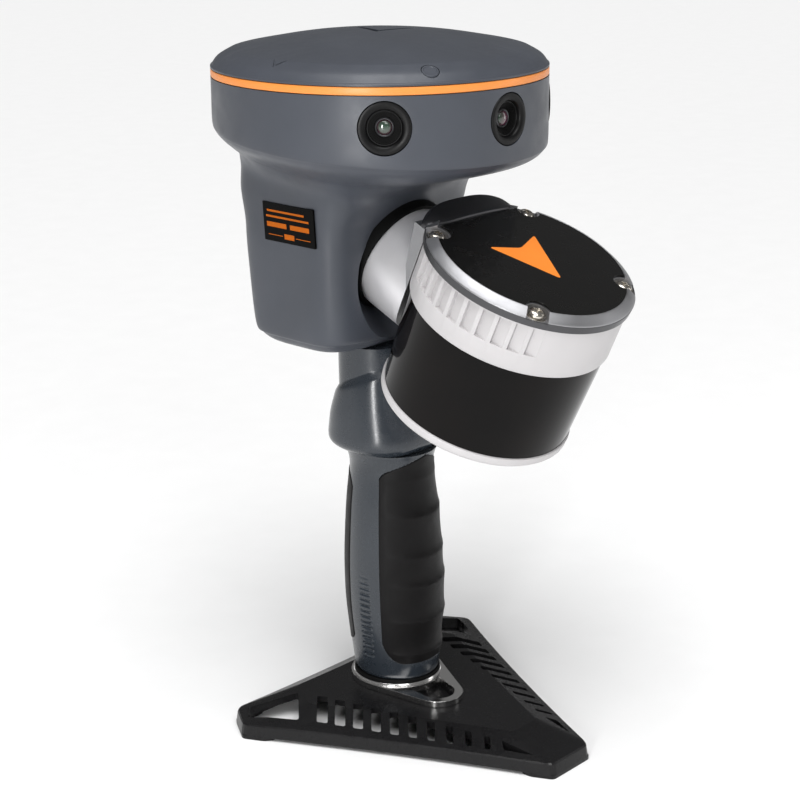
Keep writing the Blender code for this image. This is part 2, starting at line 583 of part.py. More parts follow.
def build_lidar(sensor, rotor_axis):
    """Fixed housing, window and spindle, and the rotor that spins inside them."""
    top = -PLATE_HEIGHT - GAP
    upper = turned("lidar_fin_ring", "white_paint", [
        (LIDAR_RADIUS, top), (LIDAR_RADIUS, -31.5), (LIDAR_RADIUS - 1.2, -FIN_RING_END),
        (46.0, -FIN_RING_END), (46.0, -15.0)], sensor)
    for number, (x, y) in enumerate(screw_places()):
        hole = turned(f"fin_hole_tool_{number}", "white_paint", [(1.9, -13.0), (1.9, 0)], sensor,
                      count=12, at=(x, y, 0))
        combine(upper, hole)
    turned("lidar_window", "window_glass", [
        (48.6, -FIN_RING_END - GAP), (WINDOW_END_RADIUS, -WINDOW_END), (44.6, -WINDOW_END),
        (46.0, -FIN_RING_END - GAP)], sensor, closed=True)
    turned("lidar_base", "white_paint", [
        (47.2, -WINDOW_END - GAP), (47.4, -84.0), (46.6, -LIDAR_END)], sensor)
    turned("lidar_board", "circuit_board", [(40.0, -17.0), (40.0, -15.4)], sensor,
           count=SMALL_SEGMENTS)
    turned("lidar_spindle", "steel", [
        (9.0, -82.2), (9.0, -80.0), (4.0, -80.0), (4.0, -17.4)], sensor, count=SMALL_SEGMENTS)
    rotor = turned("lidar_rotor", "silver_metal", [
        (40.0, -76.0), (40.0, -40.0), (9.5, -40.0), (9.5, -76.0)], rotor_axis, closed=True,
        count=SMALL_SEGMENTS)
    flat = block("rotor_flat_tool", "silver_metal", (-50, -60, -90), (50, -30, -20), rotor_axis)
    combine(rotor, flat)
    for name, drop in (("upper", -46.0), ("lower", -75.0)):
        turned(f"rotor_bearing_{name}", "steel", [
            (9.2, drop), (9.2, drop + 5), (4.3, drop + 5), (4.3, drop)], rotor_axis, closed=True,
            count=SMALL_SEGMENTS)
    for name, x in (("emitter_lens", -13.0), ("receiver_lens", 13.0)):
        turned(name, "lens_glass", [(10.0, 30.3), (10.0, 33.5), (6.0, 35.5)], rotor_axis,
               count=SMALL_SEGMENTS, at=(x, 0, -58.0), turn=(90, 0, 0))


def main():
    clear_scene()
    root = make_empty("scanner_frame", (0, FRAME_SHIFT_Y, -FLOOR))
    sensor = make_empty("sensor_frame", (0, SENSOR_Y, SENSOR_Z), (SENSOR_TILT, 0, 0), root)
    rotor_axis = make_empty("rotor_axis", parent=sensor)
    build_stand(root)
    build_handle(root)
    build_neck(root)
    build_housing(root, sensor)
    build_bracket(sensor)
    build_plate_trim(sensor)
    build_lidar(sensor, rotor_axis)


main()
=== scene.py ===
"""Looks of the handheld laser scanner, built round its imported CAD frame.

Shapes are written in millimetres in one of two places: ROOT stands on the handle's axis and
SENSOR on the axis of the tilted laser sensor. piece() turns them into metres.
"""
import json
import math

import bmesh
import bpy
from mathutils import Matrix, Vector


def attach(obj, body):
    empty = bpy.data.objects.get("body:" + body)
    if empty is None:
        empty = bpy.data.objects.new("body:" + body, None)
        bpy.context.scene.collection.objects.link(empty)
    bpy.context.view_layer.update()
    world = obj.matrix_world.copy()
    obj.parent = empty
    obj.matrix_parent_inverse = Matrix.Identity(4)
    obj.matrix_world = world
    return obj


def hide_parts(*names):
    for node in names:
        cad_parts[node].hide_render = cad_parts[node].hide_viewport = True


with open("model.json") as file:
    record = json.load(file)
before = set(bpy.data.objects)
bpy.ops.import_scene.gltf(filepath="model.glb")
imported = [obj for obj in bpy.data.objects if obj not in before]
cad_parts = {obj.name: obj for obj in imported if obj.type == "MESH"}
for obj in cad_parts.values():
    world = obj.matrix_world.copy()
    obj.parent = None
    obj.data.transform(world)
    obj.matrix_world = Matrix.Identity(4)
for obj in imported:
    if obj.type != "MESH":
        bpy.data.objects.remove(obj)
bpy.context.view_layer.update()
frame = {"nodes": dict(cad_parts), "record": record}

# ---------------------------------------------------------------- frame and driving dimensions
JOINTS = {joint["name"]: joint for joint in frame["record"]["behaviour"]["joints"]}
FLOOR = 4.4                  # height of the floor in the levels below
MILLIMETRE = Matrix.Scale(0.001, 4)
SENSOR_TILT = 24.0
ROOT = Matrix.Translation((0, JOINTS["screw_turn"]["pos_m"][1], -FLOOR / 1000)) @ MILLIMETRE
TILT = Matrix.Rotation(math.radians(SENSOR_TILT), 4, "X")
SENSOR = Matrix.Translation(JOINTS["rotor_spin"]["pos_m"]) @ TILT @ MILLIMETRE
ARM_DROP = 45.0
ARM = SENSOR @ Matrix.Translation((0, 0, -ARM_DROP)) @ Matrix.Rotation(-math.pi / 2, 4, "X")

HEAD_HALF_WIDTH, HEAD_FRONT, HEAD_BACK, HEAD_POWER = 80.5, -73.5, 90.5, 2.05
HOUSING_TOP, BAND_TOP = 336.0, 340.0
CAMERA_Z, CAMERA_RADIUS = 321.7, 12.1
CAMERA_ANGLES = {"front": 0.0, "left": -45.0, "right": 45.0}
LABEL_PLACE, LABEL_LEAN, LABEL_HALF_SIZE = (-51.95, 20.5, 267.6), -3.5, (17.5, 9.6)
PORT_Z, BUTTON_Z = 231.0, 163
PLATE_RADIUS, PLATE_HEIGHT, INLAY_RADIUS = 51.4, 7.3, 46.2
CHORD = 36.0                 # distance of the cable cover's straight edge behind the sensor axis
SCREW_CIRCLE, SCREW_POCKET, SCREW_NOTCH = 45.7, 6.0, 5.2
LIDAR_RADIUS, FIN_RING_END, WINDOW_END, LIDAR_END = 50.0, 33.1, 82.3, 87.2
FIN_COUNT, FIN_START, FIN_PITCH = 10, 41.5, 9.2          # on each side, in degrees from the front
ARM_RADIUS, ARM_END = 27.5, 74.5
SHOULDER_RADIUS, CHEEK_HALF, SLEEVE_RADIUS = 27.55, 27.6, 27.7
WALL_Z, RIM_Z, PLATEAU_Z = 6.2, 12.5, 18.0
HANDLE_BASE, HANDLE_TOP = 24.6, 147.4
FRONT_HALF, REAR_HALF = 67, 70                           # half angles that the two pads span
ARC = 0.42                   # millimetres along the handle's oval for one degree
LOOP_BIG, LOOP_SMALL, LOOP_REACH, LOOP_TURN = 24.5, 13.0, 35.0, -10
HOLE_BIG, HOLE_SMALL = 25.0, 8.8                         # radii at the ends of the loop's opening
VENT_PLACE, VENT_TURN = (-37.8, -58.6, 345.9), -29.4
CROWN_TILT = 30              # slope of the antenna cover where its vent sits
ROUND = 192                  # sides of the sensor's large round pieces


# ---------------------------------------------------------------- shapes, in millimetres
def skin(loops, closed=False):
    """Bridge loops of equal length; closed joins the last to the first, else both are capped."""
    shape = bmesh.new()
    rows = [[shape.verts.new(point) for point in loop] for loop in loops]
    pairs = list(zip(rows, rows[1:])) + ([(rows[-1], rows[0])] if closed else [])
    for low, high in pairs:
        for i in range(len(low)):
            j = (i + 1) % len(low)
            shape.faces.new((low[i], low[j], high[j], high[i]))
    if not closed:
        shape.faces.new(rows[0][::-1])
        shape.faces.new(rows[-1])
    bmesh.ops.recalc_face_normals(shape, faces=shape.faces)
    return shape


def ring_of(radius, z, count):
    steps = [2 * math.pi * i / count for i in range(count)]
    return [(radius * math.cos(a), radius * math.sin(a), z) for a in steps]


def lathe(profile, closed=False, count=96):
    """Revolve (radius, z) points round Z."""
    return skin([ring_of(radius, z, count) for radius, z in profile], closed)


def prism(outline, low, high):
    return skin([[(x, y, z) for x, y in outline] for z in (low, high)])


def box(low, high):
    corners = [(low[0], low[1]), (high[0], low[1]), (high[0], high[1]), (low[0], high[1])]
    return prism(corners, low[2], high[2])


def moved(shape, *matrices):
    """The shape after each matrix in turn."""
    for matrix in matrices:
        shape.transform(matrix)
    return shape


def shift(x, y, z):
    return Matrix.Translation((x, y, z))


def spin(angle, axis):
    return Matrix.Rotation(math.radians(angle), 4, axis)


def smooth_rows(rows, steps=6):
    """Catmull-Rom curve through rows of numbers."""
    rows = [tuple(map(float, row)) for row in rows]
    ends = [rows[0]] + rows + [rows[-1]]
    made = []
    for before, start, end, after in zip(ends, ends[1:], ends[2:], ends[3:]):
        for step in range(steps):
            t = step / steps
            made.append(tuple(0.5 * (2 * b + (c - a) * t + (2 * a - 5 * b + 4 * c - d) * t * t
                                     + (3 * b - a - 3 * c + d) * t ** 3)
                              for a, b, c, d in zip(before, start, end, after)))
    return made + [rows[-1]]


def superloop(half_width, front, back, z_front, z_back, power, count=224):
    """Superellipse loop between y = front and y = back, on a plane that may slope."""
    middle, half_depth = (front + back) / 2, (back - front) / 2
    loop = []
    for i in range(count):
        angle = 2 * math.pi * i / count
        across = math.copysign(abs(math.cos(angle)) ** (2 / power), math.cos(angle))
        along = math.copysign(abs(math.sin(angle)) ** (2 / power), math.sin(angle))
        y = middle + half_depth * along
        loop.append((half_width * across, y, z_front + (z_back - z_front) * (y - front) / (back - front)))
    return loop


def head_loop(z, inset=0.0, scale=1.0):
    middle = (HEAD_FRONT + HEAD_BACK) / 2
    reach = ((HEAD_BACK - HEAD_FRONT) / 2 - inset) * scale
    return superloop((HEAD_HALF_WIDTH - inset) * scale, middle - reach, middle + reach, z, z, HEAD_POWER)


def head_place(angle):
    """Frame on the head's wall, its +Z outward, at an angle in degrees from the front."""
    middle, half_depth = (HEAD_FRONT + HEAD_BACK) / 2, (HEAD_BACK - HEAD_FRONT) / 2
    dx, dy = math.sin(math.radians(angle)), math.cos(math.radians(angle))
    size = abs(dx / HEAD_HALF_WIDTH) ** HEAD_POWER + abs(dy / half_depth) ** HEAD_POWER
    reach = size ** (-1 / HEAD_POWER)
    x, y = reach * dx, reach * dy
    slope_x = math.copysign(abs(x / HEAD_HALF_WIDTH) ** (HEAD_POWER - 1), x) / HEAD_HALF_WIDTH
    slope_y = abs(y / half_depth) ** (HEAD_POWER - 1) / half_depth
    facing = math.degrees(math.atan2(slope_x, slope_y))
    return shift(x, middle - y, CAMERA_Z) @ spin(facing, "Z") @ spin(90, "X")


def rounded(outline, radius, steps=5):
    """The outline with its corners rounded by arcs of about that radius."""
    made = []
    for i, corner in enumerate(outline):
        corner = Vector(corner)
        before, after = Vector(outline[i - 1]) - corner, Vector(outline[(i + 1) % len(outline)]) - corner
        reach = min(radius, before.length * 0.49, after.length * 0.49)
        start, end = corner + before.normalized() * reach, corner + after.normalized() * reach
        for step in range(steps + 1):
            t = step / steps
            made.append(tuple(start * (1 - t) ** 2 + corner * 2 * t * (1 - t) + end * t * t))
    return made


def temporary(shape):
    mesh = bpy.data.meshes.new("tool")
    shape.to_mesh(mesh)
    shape.free()
    made = bpy.data.objects.new("tool", mesh)
    bpy.context.collection.objects.link(made)
    return made


def carve(base, cuts=(), joins=()):
    """The base shape with others joined to it and then cut from it by exact Booleans."""
    target = temporary(base)
    tools = []
    for operation, shapes in (("UNION", joins), ("DIFFERENCE", cuts)):
        for shape in shapes:
            tools.append(temporary(shape))
            step = target.modifiers.new(operation, "BOOLEAN")
            step.operation, step.solver, step.object = operation, "EXACT", tools[-1]
    result = bmesh.new()
    result.from_object(target, bpy.context.evaluated_depsgraph_get())
    for item in [target] + tools:
        mesh = item.data
        bpy.data.objects.remove(item, do_unlink=True)
        bpy.data.meshes.remove(mesh)
    return result


def piece(name, shape, finish, place=ROOT, body="scanner", stands_for=(),
          soften=0.0, crease=33):
    """A visible piece from a shape in millimetres; soften bevels edges sharper than crease."""
    shape.transform(place)
    bmesh.ops.recalc_face_normals(shape, faces=shape.faces)
    mesh = bpy.data.meshes.new(name)
    shape.to_mesh(mesh)
    shape.free()
    mesh.shade_smooth()
    mesh.materials.append(finish)
    made = bpy.data.objects.new(name, mesh)
    bpy.context.collection.objects.link(made)
    if soften:
        bevel = made.modifiers.new("soft_edges", "BEVEL")
        bevel.width, bevel.segments, bevel.limit_method = soften / 1000, 3, "ANGLE"
        bevel.angle_limit, bevel.harden_normals = math.radians(crease), True
        bevel.use_clamp_overlap = True
    else:
        mesh.set_sharp_from_angle(angle=math.radians(crease))
    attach(made, body)
    if stands_for:
        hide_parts(*stands_for)
    return made


# ---------------------------------------------------------------- materials
class Tree:
    """A material's nodes: add() makes one, links its inputs and returns it."""

    def __init__(self, name):
        self.material = bpy.data.materials.new(name)
        self.material.use_nodes = True
        self.nodes, self.links = self.material.node_tree.nodes, self.material.node_tree.links
        self.shader = self.nodes["Principled BSDF"]

    def add(self, kind, settings=None, **inputs):
        node = self.nodes.new(kind)
        for key, value in (settings or {}).items():
            setattr(node, key, value)
        for key, value in inputs.items():
            self.feed(node.inputs[int(key[1:]) if key[1:].isdigit() else key.replace("_", " ")], value)
        return node

    def feed(self, socket, value):
        if isinstance(value, bpy.types.NodeSocket):
            self.links.new(value, socket)
        else:
            socket.default_value = value

    def noise(self, vector, size, detail=3.0):
        """Noise with features of about that size in metres."""
        return self.add("ShaderNodeTexNoise", Vector=vector, Scale=1 / size, Detail=detail).outputs["Fac"]

    def span(self, value, low, high, start=0.3, end=0.7):
        return self.add("ShaderNodeMapRange", Value=value, From_Min=start, From_Max=end,
                        To_Min=low, To_Max=high).outputs["Result"]

    def mix(self, factor, first, second):
        node = self.add("ShaderNodeMix", {"data_type": "RGBA"}, Factor=factor)
        self.feed(node.inputs[6], first)
        self.feed(node.inputs[7], second)
        return node.outputs[2]


def tint(colour, factor):
    return (*[min(1.0, channel * factor) for channel in colour], 1.0)


def finish(name, colour, roughness, metallic=0.0, grain=0.0004, bump=0.1, blotch=0.08,
           edge_highlight=0.25, spread=0.06, brushed=None, **sockets):
    """Moulded or machined surface: fine grain, uneven gloss, faint blotches and a painted highlight on
    convex edges.

    brushed names the direction in the sensor's frame along which lines lie close together.
    """
    tree = Tree(name)
    place = tree.add("ShaderNodeTexCoord").outputs["Object"]
    fine = tree.noise(place, grain)
    if brushed:
        stretch = {"arm": (60, 5200, 60), "axis": (160, 160, 6000)}[brushed]
        lines = tree.add("ShaderNodeMapping", Vector=place, Scale=stretch,
                         Rotation=(-math.radians(SENSOR_TILT), 0, 0)).outputs["Vector"]
        fine = tree.add("ShaderNodeTexNoise", Vector=lines, Scale=1.0, Detail=4.0).outputs["Fac"]
    broad = tree.noise(place, 0.03, 4.0)
    smudge = tree.noise(place, 0.009, 5.0)
    base = tree.mix(tree.span(broad, 0, 1), tint(colour, 1 - blotch), tint(colour, 1 + blotch))
    base = tree.mix(tree.span(fine, 0, 0.35, 0.35, 0.75), base, tint(colour, 1 - 1.5 * blotch))
    if edge_highlight:
        # convex edges are lightened where pointiness is high: a painted edge highlight
        edge = tree.add("ShaderNodeNewGeometry").outputs["Pointiness"]
        lit_edges = tree.span(edge, 0, edge_highlight, 0.52, 0.62)
        base = tree.mix(lit_edges, base, tint([0.5 * channel + 0.12 for channel in colour], 1.25))
    tree.feed(tree.shader.inputs["Base Color"], base)
    uneven = tree.add("ShaderNodeMath", {"operation": "ADD"}, _0=tree.span(smudge, -spread, spread),
                      _1=tree.span(fine, roughness - spread / 2, roughness + spread / 2))
    tree.feed(tree.shader.inputs["Roughness"], uneven.outputs[0])
    relief = tree.add("ShaderNodeBump", Strength=bump, Distance=0.0002, Height=fine)
    tree.feed(tree.shader.inputs["Normal"], relief.outputs[0])
    tree.shader.inputs["Metallic"].default_value = metallic
    for key, value in sockets.items():
        tree.shader.inputs[key.replace("_", " ")].default_value = value
    tree.material.diffuse_color = (*colour, 1.0)
    return tree.material


def make_finishes():
    return {
        "housing": finish("housing_satin", (0.058, 0.064, 0.078), 0.40, grain=0.00035, bump=0.16,
                          edge_highlight=0.04, Specular_IOR_Level=0.40),
        "slate": finish("slate_gloss", (0.022, 0.028, 0.036), 0.27, grain=0.0006, bump=0.03,
                        Coat_Weight=0.25, Coat_Roughness=0.18),
        "orange": finish("orange_trim", (0.84, 0.275, 0.05), 0.38, bump=0.03, blotch=0.03, edge_highlight=0.1),
        "black": finish("black_moulding", (0.003, 0.003, 0.0032), 0.38, grain=0.0005, bump=0.12, edge_highlight=0.02,
                        Specular_IOR_Level=0.18),
        "stand": finish("stand_moulding", (0.0075, 0.0073, 0.0078), 0.29, grain=0.0003, bump=0.16,
                        edge_highlight=0.03, Specular_IOR_Level=0.24),
        "rubber": finish("grip_rubber", (0.0045, 0.0040, 0.0042), 0.50, grain=0.0003, bump=0.22,
                         edge_highlight=0.02, Specular_IOR_Level=0.18),
        "gasket": finish("gasket_rubber", (0.002, 0.002, 0.002), 0.62, bump=0.2, edge_highlight=0.01,
                         Specular_IOR_Level=0.12),
        "arm": finish("brushed_arm", (0.90, 0.89, 0.91), 0.38, 0.55, bump=0.10, brushed="arm",
                      blotch=0.05, edge_highlight=0.2),
        "plate": finish("machined_plate", (0.38, 0.38, 0.395), 0.46, 1.0, grain=0.0002, bump=0.14,
                        blotch=0.05, edge_highlight=0.5),
        "graphite": finish("dark_anodised", (0.085, 0.085, 0.09), 0.38, 0.9, grain=0.0002, bump=0.08,
                           edge_highlight=0.1),
        "chrome": finish("chrome_plate", (0.80, 0.79, 0.78), 0.16, 1.0, grain=0.002, bump=0.01,
                         blotch=0.02, edge_highlight=0.0, spread=0.03),
        "steel": finish("screw_steel", (0.62, 0.58, 0.52), 0.20, 1.0, bump=0.08, brushed="axis"),
        "white": finish("white_paint", (0.55, 0.535, 0.54), 0.42, grain=0.0004, bump=0.06,
                        blotch=0.02, edge_highlight=0.05),
        "disc": finish("disc_gloss_black", (0.003, 0.0028, 0.0026), 0.24, grain=0.0005, bump=0.02,
                       edge_highlight=0.0, Specular_IOR_Level=0.35),
        "board": finish("solder_mask", (0.02, 0.12, 0.05), 0.45, grain=0.001, bump=0.2),
        "ceramic": finish("fired_ceramic", (0.60, 0.55, 0.45), 0.6, grain=0.0008, bump=0.2),
        "inside": finish("inner_aluminium", (0.45, 0.45, 0.47), 0.35, 1.0, brushed="axis"),
        "print": finish("orange_print", (0.86, 0.235, 0.022), 0.5, grain=0.0003, bump=0.05, edge_highlight=0.0),
        "label": finish("label_film", (0.0012, 0.0012, 0.0012), 0.32, grain=0.0006, bump=0.05, edge_highlight=0.0,
                        Specular_IOR_Level=0.06),
        "label_print": finish("label_print", (0.50, 0.115, 0.006), 0.5, grain=0.0003, bump=0.05, edge_highlight=0.0,
                              Specular_IOR_Level=0.08),
        "window": window_finish(),
        "lens": lens_finish(),
    }


def window_finish():
    """Polished near-black plastic with faint warm-brown patches, a painted reflection."""
    tree = Tree("dark_window")
    place = tree.add("ShaderNodeTexCoord").outputs["Object"]
    broad = tree.noise(place, 0.05, 2.0)
    dust = tree.noise(place, 0.0012, 6.0)
    # warm-brown noise patches in the base colour: painted reflection
    base = tree.mix(tree.span(broad, 0, 1), (0.0015, 0.0012, 0.0012, 1), (0.0045, 0.0030, 0.0025, 1))
    tree.feed(tree.shader.inputs["Base Color"], base)
    tree.feed(tree.shader.inputs["Roughness"], tree.span(dust, 0.05, 0.10))
    tree.shader.inputs["IOR"].default_value = 1.24
    return tree.material


def lens_finish():
    """Coated glass: dark, with painted green and magenta reflections of its coating that follow the curve.
    """
    tree = Tree("coated_lens")
    place = tree.add("ShaderNodeTexCoord").outputs["Object"]
    facing = tree.add("ShaderNodeLayerWeight", Blend=0.35).outputs["Facing"]
    # base colour runs from green to magenta with the facing angle: a painted coating reflection
    painted_reflection = tree.mix(tree.span(facing, 0, 1, 0.0, 0.55), (0.030, 0.060, 0.040, 1), (0.10, 0.012, 0.045, 1))
    dust = tree.noise(place, 0.0008, 4.0)
    tree.feed(tree.shader.inputs["Base Color"], painted_reflection)
    tree.feed(tree.shader.inputs["Roughness"], tree.span(dust, 0.03, 0.07))
    tree.shader.inputs["Coat Weight"].default_value = 1.0
    tree.shader.inputs["Coat Roughness"].default_value = 0.02
    return tree.material


# ---------------------------------------------------------------- housing and head
BODY_LEVELS = (              # half width, front, back, z at the front, z at the back, power
    (38.5, 3.0, 49.0, 202.9, 202.9, 3.8), (43.2, -1.8, 53.6, 204.2, 204.2, 4.4),
    (46.8, -5.2, 57.4, 207.8, 207.8, 5.0), (49.0, -7.2, 59.8, 214.0, 214.0, 5.4),
    (50.8, -8.3, 62.0, 250.0, 250.0, 5.6), (51.3, -9.2, 62.9, 262.0, 266.0, 5.4),
    (52.0, -11.5, 66.0, 270.0, 281.0, 5.0), (53.6, -18.5, 67.6, 281.5, 294.0, 4.0),
    (60.5, -35.0, 71.2, 289.0, 301.0, 2.8),
    (68.0, -53.0, 79.0, 292.5, 306.0, 2.4), (75.5, -66.5, 85.8, 296.5, 310.5, 2.15),
    (79.4, -72.4, 89.4, 300.5, 313.5, HEAD_POWER)) + tuple(
        (HEAD_HALF_WIDTH, HEAD_FRONT, HEAD_BACK, z_front, z_back, HEAD_POWER)
        for z_front, z_back in ((304.5, 317.0), (326.0, 327.0), (HOUSING_TOP, HOUSING_TOP)))


def make_housing(looks):
    wall = skin([superloop(*row) for row in smooth_rows(BODY_LEVELS, 9)])
    into = ROOT.inverted()
    recess = moved(lathe([(ARM_RADIUS + 3.1, 60), (ARM_RADIUS + 3.1, ARM_END + 0.3)]), into @ ARM)
    flare = moved(lathe([(ARM_RADIUS + 14.0, 42), (ARM_RADIUS + 11.0, 54), (ARM_RADIUS + 7.5, 64),
                         (ARM_RADIUS + 5.0, 69.5), (ARM_RADIUS + 3.0, 72.3), (ARM_RADIUS, 72.4)]),
                  into @ ARM)
    port = box((-17.3, 57.4, PORT_Z - 8.3), (17.3, 80, PORT_Z + 8.3))
    socket_hole = box((-6.3, 40.0, PORT_Z - 3.3), (6.3, 60.6, PORT_Z + 3.3))
    seam = box((-48.0, 61.4, 243.0), (48.0, 80.0, 243.6))
    eyes = [moved(lathe([(CAMERA_RADIUS + 0.3, -14), (CAMERA_RADIUS + 0.3, 12)], count=64),
                  head_place(angle)) for angle in CAMERA_ANGLES.values()]
    housing = carve(wall, [recess, flare, port, socket_hole, seam] + eyes)
    piece("housing_shell", housing, looks["housing"], stands_for=["main_housing"],
          soften=0.35)

    band = skin([head_loop(z, inset) for z, inset in (
        (HOUSING_TOP + 0.25, 0.5), (HOUSING_TOP + 0.5, 0.1), (HOUSING_TOP + 1.0, 0.0), (BAND_TOP - 0.7, 0.0),
        (BAND_TOP - 0.2, 0.15), (BAND_TOP, 0.5), (BAND_TOP, 6), (HOUSING_TOP + 0.25, 6))], closed=True)
    piece("head_trim", band, looks["orange"], stands_for=["trim_band"])


def make_dome(looks):
    """Antenna cover: a narrow upright edge, a soft shoulder and a low crown."""
    edge = ((1.0, 340.3), (1.0, 341.0), (0.998, 341.35), (0.990, 341.8))
    crown = ((0.986, 342.4), (0.957, 345.2), (0.90, 347.9), (0.86, 349.2), (0.74, 351.2), (0.50, 354.5),
             (0.25, 356.4), (0.08, 356.9), (0.02, 356.9))
    rows = [head_loop(z, 0.0, scale) for scale, z in smooth_rows(edge, 3) + smooth_rows(crown, 5)]
    chevron = [(-1.0, 0.36), (-0.78, 0.36), (0, -0.2), (0.78, 0.36), (1.0, 0.36), (0, -0.42)]
    crown_mark = prism(rounded([(15 * x, 26 * y) for x, y in chevron], 1.0, 3), 0, 9)
    side_mark = prism(rounded([(5.0 * x, 9 * y) for x, y in chevron], 0.5, 3), -0.5, 6)
    on_slope = shift(*VENT_PLACE) @ spin(VENT_TURN, "Z") @ spin(CROWN_TILT, "X")
    cuts = [moved(crown_mark, shift(1.1, 8.6, 355.5) @ spin(-59, "Z")),
            moved(side_mark, shift(-72.0, 3.6, 348.1) @ spin(-88, "Z") @ spin(CROWN_TILT, "X")),
            moved(lathe([(4.3, -12), (4.3, 15)], count=48), on_slope)]
    piece("dome_cover", carve(skin(rows), cuts), looks["housing"], stands_for=["antenna_dome"],
          soften=0.15)
    plug = lathe([(4.0, -3.2), (4.0, 0.1), (3.8, 0.3), (3.2, 0.3), (3.0, 0.0), (0.2, 0.0)], count=48)
    piece("vent_cap", moved(plug, on_slope), looks["housing"], stands_for=["vent_plug"])


def make_camera(looks, side, angle):
    """Bezel, retaining ring, stepped barrel and domed lens of one panorama camera."""
    place = ROOT @ head_place(angle)
    bezel = lathe([(CAMERA_RADIUS, -7), (CAMERA_RADIUS, -0.6), (11.8, -0.25), (11.2, -0.1),
                   (9.2, -0.3), (8.6, -0.7), (8.2, -1.5), (8.2, -7)], closed=True)
    piece(f"camera_{side}_frame", bezel, looks["black"], place, stands_for=[f"camera_{side}_bezel"])
    retainer = lathe([(8.1, -7), (8.1, -2.3), (7.9, -2.05), (7.5, -2.05), (7.3, -2.4), (7.3, -7)],
                     closed=True)
    piece(f"camera_{side}_retainer", retainer, looks["black"], place)
    stepped = [(7.2, -7.2)]
    for step in range(5):
        radius, depth = 7.2 - 0.52 * step, -2.9 - 0.42 * step
        stepped += [(radius, depth), (radius - 0.45, depth)]
    stepped += [(4.5, -5.3), (3.4, -5.3), (3.4, -7.2)]
    piece(f"camera_{side}_baffle", lathe(stepped, closed=True), looks["gasket"], place,
          stands_for=[f"camera_{side}_barrel"])
    ring = lathe([(4.4, -5.2), (4.4, -4.3), (4.0, -4.0), (3.6, -4.2), (3.4, -5.2)], closed=True, count=64)
    piece(f"camera_{side}_lens_ring", ring, looks["graphite"], place)
    glass = [(3.35, -7.0)] + [(3.35 * math.cos(a), -4.6 + 1.5 * math.sin(a))
                              for a in [math.radians(10 * i) for i in range(9)]]
    piece(f"camera_{side}_glass", lathe(glass, count=64), looks["lens"], place,
          stands_for=[f"camera_{side}_lens"])


def make_label(looks):
    """Black label that carries only plain orange bars."""
    place = ROOT @ shift(*LABEL_PLACE) @ spin(LABEL_LEAN, "Y")
    half_width, half_height = LABEL_HALF_SIZE
    film = box((-0.12, -half_width, -half_height), (0.9, half_width, half_height))
    piece("label_film", film, looks["label"], place, stands_for=["label_plate"],
          soften=0.08)
    bars = [((-11.0, 5.1), (14.6, 6.1)), ((-14.0, 2.3), (15.4, 3.3)),
            ((1.6, -2.4), (15.2, 0.0)), ((-14.0, -2.4), (-0.9, 0.0)),
            ((4.6, -6.5), (14.5, -6.15)), ((-14.5, -6.5), (-4.6, -6.15)), ((-3.4, -7.6), (3.4, -5.0))]
    for number, ((y0, z0), (y1, z1)) in enumerate(bars):
        bar = box((-0.17, y0, z0), (0.1, y1, z1))
        piece(f"label_bar_{number + 1}", bar, looks["label_print"], place)


def make_port(looks):
    """Metal connector shell with its tongue, and the hinged rubber flap with four grip ribs."""
    place = ROOT @ shift(0, 0, PORT_Z)
    shell = carve(box((-6.0, 47.4, -3.0), (6.0, 57.2, 3.0)), [box((-4.9, 49.5, -1.9), (4.9, 60, 1.9))])
    piece("port_connector", shell, looks["steel"], place, stands_for=["port_socket"],
          soften=0.35)
    tongue = box((-3.6, 49.0, -0.4), (3.6, 56.2, 0.4))
    piece("port_tongue", tongue, looks["gasket"], place, soften=0.1)

    joint = JOINTS["port_cover_hinge"]["pos_m"]
    place = Matrix.Translation(joint) @ MILLIMETRE
    flap = box((-17, -3.6, -16), (17, 0, 0))
    ribs = [box((-12, -0.5, z), (12, 0.8, z + 0.9)) for z in (-12.6, -10.4, -8.2, -6.0)]
    notch = box((-20, -8, -1.2), (20, -2.4, 4))
    piece("port_flap", carve(flap, [notch], ribs), looks["gasket"], place, body="port_cover",
          stands_for=["port_cover"], soften=0.5)


# ---------------------------------------------------------------- sensor on its arm
def screw_places():
    half = SCREW_CIRCLE * math.sin(math.radians(45))
    return [(x, y) for x in (-half, half) for y in (-half, half)]


def screw_notches():
    """Round pockets for the screws, open towards the plate's edge."""
    tools = []
    for x, y in screw_places():
        channel = moved(box((0, -SCREW_NOTCH, -3.7), (20, SCREW_NOTCH, 6)),
                        Matrix.Rotation(math.atan2(y, x), 4, "Z"), shift(x, y, 0))
        hole = lathe([(SCREW_NOTCH, -3.7), (SCREW_NOTCH, 6)], count=40)
        tools += [moved(hole, shift(x, y, 0)), channel]
    return tools


